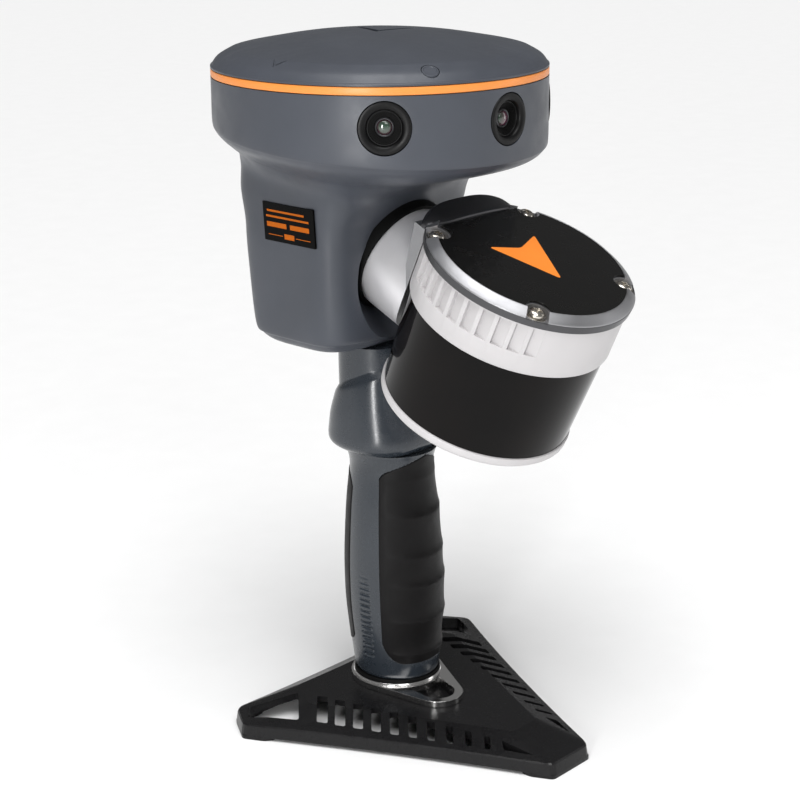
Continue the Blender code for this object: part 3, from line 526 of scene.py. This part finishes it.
def make_bracket(looks):
    """Ring plate, tapered cheek behind it and round arm as one casting, and the arm's seal."""
    plate = lathe([(50.4, -PLATE_HEIGHT), (51.0, -6.9), (PLATE_RADIUS, -3.3), (51.1, -2.7), (47.2, -0.25),
                   (46.9, -0.05), (46.6, 0), (INLAY_RADIUS + 0.2, -0.1), (INLAY_RADIUS + 0.2, -1.3)])
    turn = SENSOR.inverted() @ ARM
    sideways = Matrix(((0, 0, 1, 0), (1, 0, 0, 0), (0, 1, 0, 0), (0, 0, 0, 1)))
    cheek = prism([(-38.0, 37.0), (-38.0, 50.5), (-16.0, 47.0), (3.0, 39.0), (3.0, 37.0)],
                  -CHEEK_HALF, CHEEK_HALF)
    shoulder = lathe([(SHOULDER_RADIUS, 37), (SHOULDER_RADIUS, 60), (ARM_RADIUS, ARM_END - 0.6)])
    joined = [moved(cheek, turn @ sideways), moved(shoulder, turn)]
    seat = lathe([(LIDAR_RADIUS + 0.4, -120), (LIDAR_RADIUS + 0.4, -PLATE_HEIGHT - 0.05)])
    bracket = carve(plate, [seat] + screw_notches(), joined)
    piece("bracket_casting", bracket, looks["plate"], SENSOR, stands_for=["sensor_bracket"],
          soften=0.35)
    band = lathe([(50.8, -7.25), (51.3, -7.0), (51.6, -3.5), (51.0, -3.3)], closed=True, count=ROUND)
    piece("plate_band", carve(band, screw_notches()), looks["graphite"], SENSOR)
    sleeve = lathe([(27.5, 36.0), (SLEEVE_RADIUS, 36.2), (SLEEVE_RADIUS, ARM_END - 0.8),
                    (27.4, ARM_END - 0.6)])
    clear = lathe([(LIDAR_RADIUS + 0.6, -120), (LIDAR_RADIUS + 0.6, 10)])
    piece("arm_sleeve", carve(sleeve, [moved(clear, turn.inverted())]), looks["arm"], ARM)
    seal = lathe([(ARM_RADIUS + 0.3, ARM_END - 4.8), (ARM_RADIUS + 1.2, ARM_END - 5.4),
                  (ARM_RADIUS + 2.2, ARM_END - 5.0), (ARM_RADIUS + 2.8, ARM_END - 3.4),
                  (ARM_RADIUS + 2.8, ARM_END), (ARM_RADIUS + 0.3, ARM_END)], closed=True)
    piece("arm_gasket", seal, looks["gasket"], ARM, stands_for=["arm_seal"])


def make_plate_trim(looks):
    """Black disc with a plain arrowhead, the swept cable cover and four recessed screws."""
    half = math.degrees(math.acos(CHORD / INLAY_RADIUS))
    arc = [math.radians(90 + half + (360 - 2 * half) * i / 90) for i in range(91)]
    outline = [(INLAY_RADIUS * math.cos(a), INLAY_RADIUS * math.sin(a)) for a in arc]
    pockets = [moved(lathe([(SCREW_POCKET, -5), (SCREW_POCKET, 6)], count=40), shift(x, y, 0))
               for x, y in screw_places()]
    piece("disc_inlay", carve(prism(outline, -1.0, -0.25), pockets), looks["disc"], SENSOR,
          stands_for=["plate_inlay"], soften=0.15)
    arrow = prism(rounded([(-16.5, 14.0), (0, 8.0), (16.5, 14.0), (0, -18.5)], 2.2), -0.3, -0.18)
    piece("disc_arrow", arrow, looks["print"], SENSOR)

    rows = []
    for i in range(49):
        t = -math.cos(math.pi * i / 48)
        x = 30.5 * t
        back = 44.5 + 7.0 * (1 - abs(t) ** 3)
        high = -3.4 + 5.2 * (1 - abs(t) ** 2.6) ** 0.5
        start = CHORD + 0.2 + 4.5 * abs(t) ** 6
        rows.append([(x, start, -5.0), (x, start, high - 1.0), (x, start + 0.5, high - 0.35),
                     (x, start + 2.0, high), (x, back - 1.2, high - 0.1),
                     (x, back, high - 1.2), (x, back, -5.0)])
    near = [moved(lathe([(SCREW_POCKET + 0.2, -5), (SCREW_POCKET + 0.2, 8)], count=40), shift(x, y, 0))
            for x, y in screw_places() if y > 0]
    piece("cable_ramp", carve(skin(rows), near), looks["graphite"], SENSOR, stands_for=["cable_cover"],
          soften=0.3)

    for number, (x, y) in enumerate(screw_places()):
        crown = lathe([(3.9, -3.6), (3.9, -2.4), (3.6, -1.8), (2.9, -1.3), (1.6, -0.95), (0.2, -0.85)],
                      count=48)
        cross = [box((-2.1, -0.45, -2.2), (2.1, 0.45, 0)), box((-0.45, -2.1, -2.2), (0.45, 2.1, 0))]
        turned = moved(carve(crown, cross), spin(25 + 40 * number, "Z"), shift(x, y, 0))
        piece(f"plate_screw_{number + 1}", turned, looks["steel"], SENSOR,
              stands_for=[f"sensor_screw_{number + 1}"], soften=0.1)
        cup = lathe([(5.1, -3.75), (5.1, -3.5), (4.2, -3.5), (4.2, -3.75)], closed=True, count=48)
        piece(f"screw_washer_{number + 1}", moved(cup, shift(x, y, 0)), looks["steel"], SENSOR)


def make_lidar(looks):
    """White upper housing with cooling pockets, dark window and white base."""
    top = -PLATE_HEIGHT - 0.1
    ring = lathe([(49.9, top), (LIDAR_RADIUS, top - 0.5), (LIDAR_RADIUS, -31.9), (49.7, -32.6),
                  (49.0, -FIN_RING_END), (44.0, -FIN_RING_END), (44.0, top)], closed=True, count=ROUND)
    pockets = []
    for side in (-1, 1):
        for number in range(FIN_COUNT):
            angle = -90 + side * (FIN_START + FIN_PITCH * number)
            ramp = [(LIDAR_RADIUS - 2.6, 2.5 * side), (LIDAR_RADIUS + 3, 2.9 * side),
                    (LIDAR_RADIUS + 3, -3.9 * side), (LIDAR_RADIUS - 0.25, -3.2 * side)]
            pockets.append(moved(prism(ramp, -22.6, top - 0.9), spin(angle, "Z")))
    piece("fin_housing", carve(ring, pockets), looks["white"], SENSOR, stands_for=["lidar_fin_ring"],
          soften=0.3)
    window = lathe([(48.7, -FIN_RING_END - 0.1), (48.7, -FIN_RING_END - 0.6), (47.2, -WINDOW_END + 0.1),
                    (44.0, -WINDOW_END + 0.1), (44.0, -FIN_RING_END - 0.1)], closed=True, count=ROUND)
    piece("scan_window", window, looks["window"], SENSOR, stands_for=["lidar_window"],
          soften=0.1)
    base = lathe([(47.2, -WINDOW_END), (47.9, -WINDOW_END - 0.2), (48.1, -WINDOW_END - 0.7),
                  (47.9, -86.0), (47.0, -87.0), (45.5, -LIDAR_END), (30.0, -LIDAR_END),
                  (29.6, -86.8), (10.0, -86.8), (9.6, -LIDAR_END), (0.5, -LIDAR_END)], count=ROUND)
    feet = [moved(lathe([(2.2, -90), (2.2, -86.2)], count=32), shift(38 * math.cos(a), 38 * math.sin(a), 0))
            for a in [math.radians(45 + 90 * i) for i in range(4)]]
    piece("lidar_foot", carve(base, feet), looks["white"], SENSOR, stands_for=["lidar_base"],
          soften=0.15)


# ---------------------------------------------------------------- neck and handle
def make_neck(looks):
    """Upper collar, a chamfered seam that rises to the front, and the flared skirt."""
    collar = ((23.0, -9.0, 27.4, 202.6, 202.6), (22.9, -9.2, 27.2, 197.0, 180.5),
              (22.9, -9.4, 27.2, 194.0, 177.5))
    skirt = ((24.6, -11.4, 29.0, 191.0, 174.5), (25.4, -12.4, 29.9, 188.0, 171.5),
             (27.2, -15.8, 32.0, 172.0, 165.0), (28.3, -18.9, 33.1, 159.0, 158.0),
             (28.6, -19.8, 33.4, 154.0, 154.0), (28.2, -19.7, 33.0, 151.4, 151.4),
             (26.8, -18.6, 31.6, 149.4, 149.4), (24.8, -17.4, 29.4, 147.9, 147.9))
    rows = smooth_rows(collar, 5) + smooth_rows(skirt, 6)
    neck = skin([superloop(*row, 2.5) for row in rows])
    boss = moved(lathe([(10.0, 26.0), (10.0, 32.0), (9.6, 32.4), (8.6, 32.4)], count=64), spin(-90, "X"),
                 shift(0, 0, BUTTON_Z))
    well = moved(lathe([(8.5, 27.0), (8.5, 50.0)], count=64), spin(-90, "X"), shift(0, 0, BUTTON_Z))
    piece("neck_collar", carve(neck, [well], [boss]), looks["slate"], stands_for=["neck_shell"],
          soften=0.25)

    place = ROOT @ shift(0, 0, BUTTON_Z) @ spin(-90, "X")
    bezel = lathe([(8.3, 27.3), (8.3, 33.9), (7.9, 34.4), (6.8, 34.4), (6.4, 33.9), (6.4, 27.3)],
                  closed=True, count=64)
    piece("button_ring", bezel, looks["black"], place, stands_for=["button_bezel"])
    cap = lathe([(3.6, 25.0), (3.6, 29.5), (6.0, 29.5), (6.0, 33.6), (5.6, 34.2), (4.6, 34.5),
                 (3.6, 34.1), (0.3, 33.9)], count=64)
    piece("button_cap", cap, looks["orange"], place, body="power_button", stands_for=["power_button"])
    lamp = lathe([(1.5, 23.0), (1.5, 27.7), (1.2, 28.0), (0.2, 28.2)], count=32)
    piece("indicator_lamp", lamp, looks["white"], place @ shift(0, -16, 0),
          stands_for=["indicator_lens"])


HANDLE_LEVELS = (            # z, mean radius, middle of the oval along Y
    (HANDLE_BASE, 22.0, 0.3), (36.0, 23.4, 0.5), (60.0, 25.6, 1.0), (76.0, 25.9, 1.5),
    (92.0, 25.4, 2.0), (116.0, 23.8, 2.5), (136.0, 21.6, 3.0), (HANDLE_TOP, 22.2, 3.4))
HANDLE_ROWS = smooth_rows(HANDLE_LEVELS, 8)


def handle_point(angle, z, proud=0.0):
    """Point on the handle's oval at an angle in degrees from the front."""
    for (z0, r0, y0), (z1, r1, y1) in zip(HANDLE_ROWS, HANDLE_ROWS[1:]):
        if z <= z1:
            break
    part = min(1.0, (z - z0) / (z1 - z0))
    size, middle, turn = r0 + (r1 - r0) * part, y0 + (y1 - y0) * part, math.radians(angle)
    return ((0.97 * size + proud) * math.sin(turn), middle - (1.03 * size + proud) * math.cos(turn), z)


def ridge_depth(angle, z):
    """Depth of the short grip ridges low on each side of the handle."""
    pitch, low, count = 3.15, 35.5, 16
    place = (z - low) / pitch
    across = abs(abs(angle) - 86)
    if not 0 <= place < count or across > 7.5:
        return 0.0
    wave = max(0.0, math.cos(2 * math.pi * (place % 1 - 0.5))) ** 0.7
    fade = min(1.0, (count - place) / 5) * min(1.0, (7.5 - across) / 1.5)
    return 0.7 * wave * fade


def top_flare(z):
    """How far the handle widens just below the neck."""
    return 1.6 * max(0.0, (z - 138) / 9.4) ** 2


def pad_cover(angle, z):
    """How deep a point of the shell lies inside the outline of the pad above it, from 0 to 1."""
    front = abs(angle) < 90
    half_angle, ends = (FRONT_HALF, FRONT_ENDS) if front else (REAR_HALF, REAR_ENDS)
    u = (abs(angle) if front else 180 - abs(angle)) / half_angle
    if u >= 1:
        return 0.0
    inside = min((1 - u) * half_angle * ARC, ends[0](u) - z, z - ends[1](u))
    return max(0.0, min(1.0, (inside - 0.7) / 1.2))


def make_handle_shell(looks):
    """Shell with ridged sides, sunk below the pads and chamfered at its base."""
    chamfer_top, sunk, sides = 25.6, 2.6, 240
    heights = [HANDLE_BASE, 24.9, chamfer_top, 27.5, 30, 33]
    for start, step, count in ((34, 0.33, 15), (39, 0.33, 145), (87, 0.75, 80)):
        heights += [start + step * i for i in range(count)]
    rows = []
    for z in heights + [HANDLE_TOP]:
        flare = top_flare(z) - 0.5 * max(0.0, (chamfer_top - z))
        loop = []
        for i in range(sides):
            angle = -180 + 360 / sides * i
            proud = flare - ridge_depth(angle, z) - sunk * pad_cover(angle, z)
            loop.append(handle_point(angle, z, proud))
        rows.append(loop)
    piece("handle_body", skin(rows), looks["slate"], stands_for=["handle_shell"])


def finger_relief(u, z):
    """Shallow finger seats, each ending in a crease at its lower edge."""
    creases = (41.0, 60.0, 79.5, 95.0, 117.0, 136.0)
    sag = 2.2 * (1 - u * u)
    for low, high in zip(creases, creases[1:]):
        part = (z + sag - low) / (high - low)
        if 0 <= part < 1:
            seat = math.sin(math.pi * part ** 0.8) ** 0.7 * (1.2 - 0.5 * part)
            sides = max(0.0, 1 - abs(u / 0.86) ** 2.5)
            return 0.25 - 1.6 * seat * sides
    return 0.25


def pad_shape(centre, half_angle, top, bottom, relief, across=72, along=150):
    """Closed patch on the handle; top and bottom give its end heights at u from -1 to 1."""
    rows = []
    for j in range(along + 1):
        v = 0.5 - 0.5 * math.cos(math.pi * j / along)
        outer, inner = [], []
        for i in range(across + 1):
            u = -math.cos(math.pi * i / across)
            low, high = bottom(u), top(u)
            z = low + (high - low) * v
            side = (1 - abs(u)) * half_angle * ARC
            rim = min(side, z - low, high - z)
            proud = 0.35 - 1.3 * max(0.0, 1 - rim / 1.3) ** 2 + top_flare(z)
            inside = min(1.0, rim / 5)
            outer.append(handle_point(centre + half_angle * u, z, proud + relief(u, z) * inside))
            inner.append(handle_point(centre + half_angle * u, z, -2.3))
        rows.append(outer + inner[::-1])
    return skin(rows)


def corner(u, radius):
    """How far an end of a pad retreats near its side edges to round the corners."""
    over = max(0.0, abs(u) - (1 - radius)) / radius
    return 1 - math.sqrt(max(0.0, 1 - over * over))


# top and bottom end of each pad's outline, at u from -1 to 1 across the pad
FRONT_ENDS = (lambda u: 147.2 - 9.5 * abs(u) - 5 * corner(u, 0.18), lambda u: 33.2 + 17 * corner(u, 0.45))
REAR_ENDS = (lambda u: 136.0 - 12 * corner(u, 0.7), lambda u: 38.0 + 9 * corner(u, 0.6))


def make_grips(looks):
    front = pad_shape(0, FRONT_HALF, *FRONT_ENDS, finger_relief)
    piece("front_pad", front, looks["rubber"], stands_for=["front_grip"])
    rear = pad_shape(180, REAR_HALF, *REAR_ENDS, lambda u, z: 0.0)
    piece("rear_pad", rear, looks["rubber"], stands_for=["rear_grip"])


def strap_hole(low, high):
    """Cutter of the opening between the handle's round base and the end of the strap loop."""
    outline = []
    for i in range(17):
        angle = math.radians(-114 + 48 * i / 16)
        outline.append((HOLE_BIG * math.cos(angle), HOLE_BIG * math.sin(angle)))
    for i in range(25):
        angle = math.radians(-10 - 160 * i / 24)
        outline.append((HOLE_SMALL * math.cos(angle), HOLE_SMALL * math.sin(angle) - LOOP_REACH))
    return prism(rounded(outline, 1.5, 3), low, high)


def make_strap_loop(looks):
    """Chrome plate with its loop below the handle, and the black ring between the two."""
    tangent = math.acos((LOOP_BIG - LOOP_SMALL) / LOOP_REACH)
    outline = []
    for i in range(65):
        angle = -math.pi / 2 + tangent + (2 * math.pi - 2 * tangent) * i / 64
        outline.append((LOOP_BIG * math.cos(angle), LOOP_BIG * math.sin(angle)))
    for i in range(33):
        angle = -math.pi / 2 - tangent + 2 * tangent * i / 32
        outline.append((LOOP_SMALL * math.cos(angle), LOOP_SMALL * math.sin(angle) - LOOP_REACH))
    collar = lathe([(23.4, 20.0), (23.4, 22.0), (23.0, 22.6), (22.0, 22.6)])
    loop = carve(prism(outline, PLATEAU_Z + 0.2, 21.4), [strap_hole(10, 21.6)], [collar])
    loop = moved(loop, spin(LOOP_TURN, "Z"))
    piece("strap_loop", loop, looks["chrome"], stands_for=["lanyard_ring"], soften=1.1)
    gasket = lathe([(22.2, 22.7), (22.6, 22.9), (22.6, 24.1), (22.2, 24.4), (8.0, 24.4), (8.0, 22.7)],
                   closed=True)
    piece("base_ring", gasket, looks["gasket"], stands_for=["base_gasket"])


# ---------------------------------------------------------------- foot
# right halves of the foot's outlines: front corner, then the two points of the right corner
RIM_PLAN = ((14.2, -117.2), (88.0, 26.0), (78.0, 42.0))
PLATEAU_PLAN = ((9.0, -88.1), (56.9, 10.1), (45.9, 29.1))
HOLLOW_PLAN = ((11.6, -110.0), (82.0, 25.5), (75.5, 38.0))
HOLLOW_TOP_PLAN = ((8.0, -85.0), (53.5, 9.6), (44.2, 27.2))
SLOTS = 10


def both_halves(plan, grow=0.0):
    """The six corners of a truncated triangle, anticlockwise from the front left."""
    right = [Vector(point) * (1 + grow) for point in plan]
    left = [Vector((-point.x, point.y)) for point in reversed(right)]
    return [left[-1]] + right + left[:-1]


def foot_loop(z, corners, bow, radius):
    """Outline with rounded corners whose three long sides bow slightly inwards."""
    outline = []
    for first in range(0, 6, 2):
        start, end = corners[first + 1], corners[(first + 2) % 6]
        run = end - start
        inward = Vector((-run.y, run.x)).normalized()
        outline += [tuple(corners[first]), tuple(start)]
        for step in range(1, 6):
            t = step / 6
            outline.append(tuple(start + run * t + inward * bow * 4 * t * (1 - t)))
    made = []
    for i, point in enumerate(outline):
        if i % 7 < 2:
            here = Vector(point)
            before, after = Vector(outline[i - 1]) - here, Vector(outline[(i + 1) % 21]) - here
            start, end = here + before.normalized() * radius, here + after.normalized() * radius
            for step in range(5):
                t = step / 4
                made.append((*(start * (1 - t) ** 2 + here * 2 * t * (1 - t) + end * t * t), z))
        else:
            made.append((*point, z))
    return made


def foot_openings():
    """Cutters of the slots and the two corner openings on each side."""
    tools = []
    for mirror in (-1, 1):
        start, end = [Vector((mirror * x, y)) for x, y in (RIM_PLAN[1], RIM_PLAN[0])]
        length = (end - start).length
        run = (end - start) / length
        inward = Vector((run.y, -run.x)) * mirror

        def spot(part, depth, lean=0.3):
            return tuple(start + run * (length * part - lean * depth) + inward * depth)

        outlines = [([spot(0.0, 6.5, 0), spot(0.17, 8, 0), spot(0.12, 31, 0), spot(-0.02, 16, 0)], 2.0),
                    ([spot(0.84, 5.5, 0), spot(0.935, 4.5, 0), spot(0.825, 11.5, 0)], 1.2)]
        for slot in range(SLOTS):
            fade = slot / (SLOTS - 1)
            part = 0.262 + 0.538 * fade
            half = (3.0 - 1.5 * fade) / length
            near, far = 8.4 - 3.7 * fade, 29.5 - 16.5 * fade
            outlines.append(([spot(part - half, near), spot(part + half, near),
                              spot(part + half, far), spot(part - half, far)], 1.2))
        for outline, radius in outlines:
            tools.append(prism(rounded(outline, radius, 4), -1, 30))
    return tools


def foot_pad(corners, corner, run=12.0, depth=6.0):
    """Rubber band that wraps one truncated corner under the rim."""
    before, start, end, after = [corners[(corner + step) % 6] for step in (-1, 0, 1, 2)]
    outside = [start + (before - start).normalized() * run, start,
               end, end + (after - end).normalized() * run]
    middle = (start + end) / 2
    inward = -Vector((middle.x, middle.y + RIM_PLAN[1][1])).normalized() * depth
    outline = [tuple(point) for point in outside + [point + inward for point in reversed(outside)]]
    return prism(rounded(outline, 2.0), FLOOR, WALL_Z + 0.1)


def make_foot(looks):
    plate = skin([foot_loop(WALL_Z, both_halves(RIM_PLAN, 0.010), 2.0, 4.0),
                  foot_loop(RIM_Z - 0.8, both_halves(RIM_PLAN, 0.001), 2.0, 4.0),
                  foot_loop(RIM_Z, both_halves(RIM_PLAN, -0.006), 2.0, 4.0),
                  foot_loop(PLATEAU_Z, both_halves(PLATEAU_PLAN), 1.0, 3.0)])
    hollow = skin([foot_loop(-1, both_halves(HOLLOW_PLAN), 2.0, 4.0),
                   foot_loop(RIM_Z - 3.4, both_halves(HOLLOW_PLAN), 2.0, 4.0),
                   foot_loop(PLATEAU_Z - 3.0, both_halves(HOLLOW_TOP_PLAN), 1.0, 3.0)])
    cut = carve(plate, [hollow])
    hub = lathe([(19.0, 9.0), (19.0, 16.5)])
    bore = lathe([(3.3, -1), (3.3, 30)], count=48)
    well = moved(strap_hole(PLATEAU_Z - 2.2, 30), spin(LOOP_TURN, "Z"))
    foot = carve(carve(cut, foot_openings(), [hub]), [bore, well])
    piece("foot_plate", foot, looks["stand"], stands_for=["stand_plate"],
          crease=8)
    corners = both_halves(RIM_PLAN, 0.008)
    for name, first in (("front", 0), ("right", 2), ("left", 4)):
        piece(f"rim_pad_{name}", foot_pad(corners, first), looks["stand"],
              stands_for=[f"foot_pad_{name}"], soften=0.4)

    knob = lathe([(13.6, 5.4), (14.6, 6.0), (15.0, 6.6), (15.0, 7.8), (14.4, 8.5), (3.0, 8.7), (3.0, 32.5),
                  (2.0, 33.4)], count=96)
    notches = [moved(lathe([(1.1, 0), (1.1, 20)], count=16), shift(15.6, 0, 0), spin(15 * i, "Z"))
               for i in range(24)]
    piece("thumb_screw", carve(knob, notches), looks["steel"], body="stand_screw",
          stands_for=["stand_screw"], soften=0.15)


# ---------------------------------------------------------------- carried-over CAD nodes
def dress_inner_parts(looks):
    groups = {
        "board": ("main_board", "power_board", "contact_board", "lidar_board"),
        "steel": ("antenna_ground_plane", "base_insert", "lidar_spindle",
                  "rotor_bearing_upper", "rotor_bearing_lower"),
        "inside": ("processor_heatsink", "lidar_rotor"),
        "black": ("battery_pack", "inertial_unit", "storage_drive"),
        "ceramic": ("antenna_element",),
        "lens": ("emitter_lens", "receiver_lens"),
    }
    for look, names in groups.items():
        for name in names:
            node = frame["nodes"][name]
            for place in node.material_slots:
                place.material = looks[look]


# ---------------------------------------------------------------- camera, light and floor
CAMERA_AZIMUTH, CAMERA_ELEVATION, CAMERA_ROLL = -46.85, 17.6, -0.43
CAMERA_PLACE = (-631.4, -595.2, 446.5)
CAMERA_LENS, SENSOR_WIDTH = 80.31, 36.0
AIM_HEIGHT, FLOOR_REACH = 0.2, 25.0      # metres


def view_axes(azimuth, elevation):
    """Right, up and back directions of something that looks at the object from there."""
    a, e = math.radians(azimuth), math.radians(elevation)
    back = Vector((math.sin(a) * math.cos(e), -math.cos(a) * math.cos(e), math.sin(e)))
    right = Vector((math.cos(a), math.sin(a), 0))
    return right, back.cross(right), back


def make_camera_view():
    right, up, back = view_axes(CAMERA_AZIMUTH, CAMERA_ELEVATION)
    c, s = math.cos(math.radians(CAMERA_ROLL)), math.sin(math.radians(CAMERA_ROLL))
    right, up = c * right + s * up, c * up - s * right
    lens = bpy.data.cameras.new("view")
    lens.lens, lens.sensor_width, lens.clip_start = CAMERA_LENS, SENSOR_WIDTH, 0.01
    camera = bpy.data.objects.new("view", lens)
    bpy.context.collection.objects.link(camera)
    turn = Matrix((right, up, back)).transposed().to_4x4()
    camera.matrix_world = Matrix.Translation(ROOT @ Vector(CAMERA_PLACE)) @ turn
    bpy.context.scene.camera = camera


def make_light(name, azimuth, elevation, distance, size, power):
    """Soft rectangular light aimed at the middle of the object."""
    right, up, back = view_axes(azimuth, elevation)
    lamp = bpy.data.lights.new(name, "AREA")
    lamp.shape, lamp.size, lamp.size_y = "RECTANGLE", size[0], size[1]
    lamp.energy = power
    light = bpy.data.objects.new(name, lamp)
    bpy.context.collection.objects.link(light)
    turn = Matrix((right, up, back)).transposed().to_4x4()
    light.matrix_world = Matrix.Translation(Vector((0, 0, AIM_HEIGHT)) + back * distance) @ turn


def make_studio():
    floor = bmesh.new()
    bmesh.ops.create_grid(floor, x_segments=8, y_segments=8, size=FLOOR_REACH)
    mesh = bpy.data.meshes.new("floor")
    floor.to_mesh(mesh)
    floor.free()
    mesh.materials.append(finish("floor_paper", (0.90, 0.90, 0.90), 0.8, grain=0.002, bump=0.02,
                                 blotch=0.01, edge_highlight=0.0))
    plane = bpy.data.objects.new("floor", mesh)
    bpy.context.collection.objects.link(plane)

    world = bpy.data.worlds.new("studio")
    world.use_nodes = True
    background = world.node_tree.nodes["Background"].inputs
    background["Color"].default_value = (1.0, 1.0, 1.0, 1.0)
    background["Strength"].default_value = 0.17
    bpy.context.scene.world = world
    make_light("key", -64, 6, 1.15, (0.14, 0.45), 5.6)
    make_light("front", -30, 34, 1.3, (0.5, 0.4), 2.4)
    make_light("right", 50, 14, 1.3, (0.25, 0.9), 1.2)
    sky = bpy.data.lights.new("sky", "SUN")
    sky.energy, sky.angle = 2.95, math.radians(50)
    above = bpy.data.objects.new("sky", sky)
    above.rotation_euler = (math.radians(12), math.radians(-14), 0)
    bpy.context.collection.objects.link(above)
    bpy.context.scene.view_settings.view_transform = "Standard"


# ---------------------------------------------------------------- assembly
def main():
    looks = make_finishes()
    make_camera_view()
    make_housing(looks)
    make_dome(looks)
    for side, angle in CAMERA_ANGLES.items():
        make_camera(looks, side, angle)
    make_label(looks)
    make_port(looks)
    make_bracket(looks)
    make_plate_trim(looks)
    make_lidar(looks)
    make_neck(looks)
    make_handle_shell(looks)
    make_grips(looks)
    make_strap_loop(looks)
    make_foot(looks)
    dress_inner_parts(looks)
    make_studio()


main()
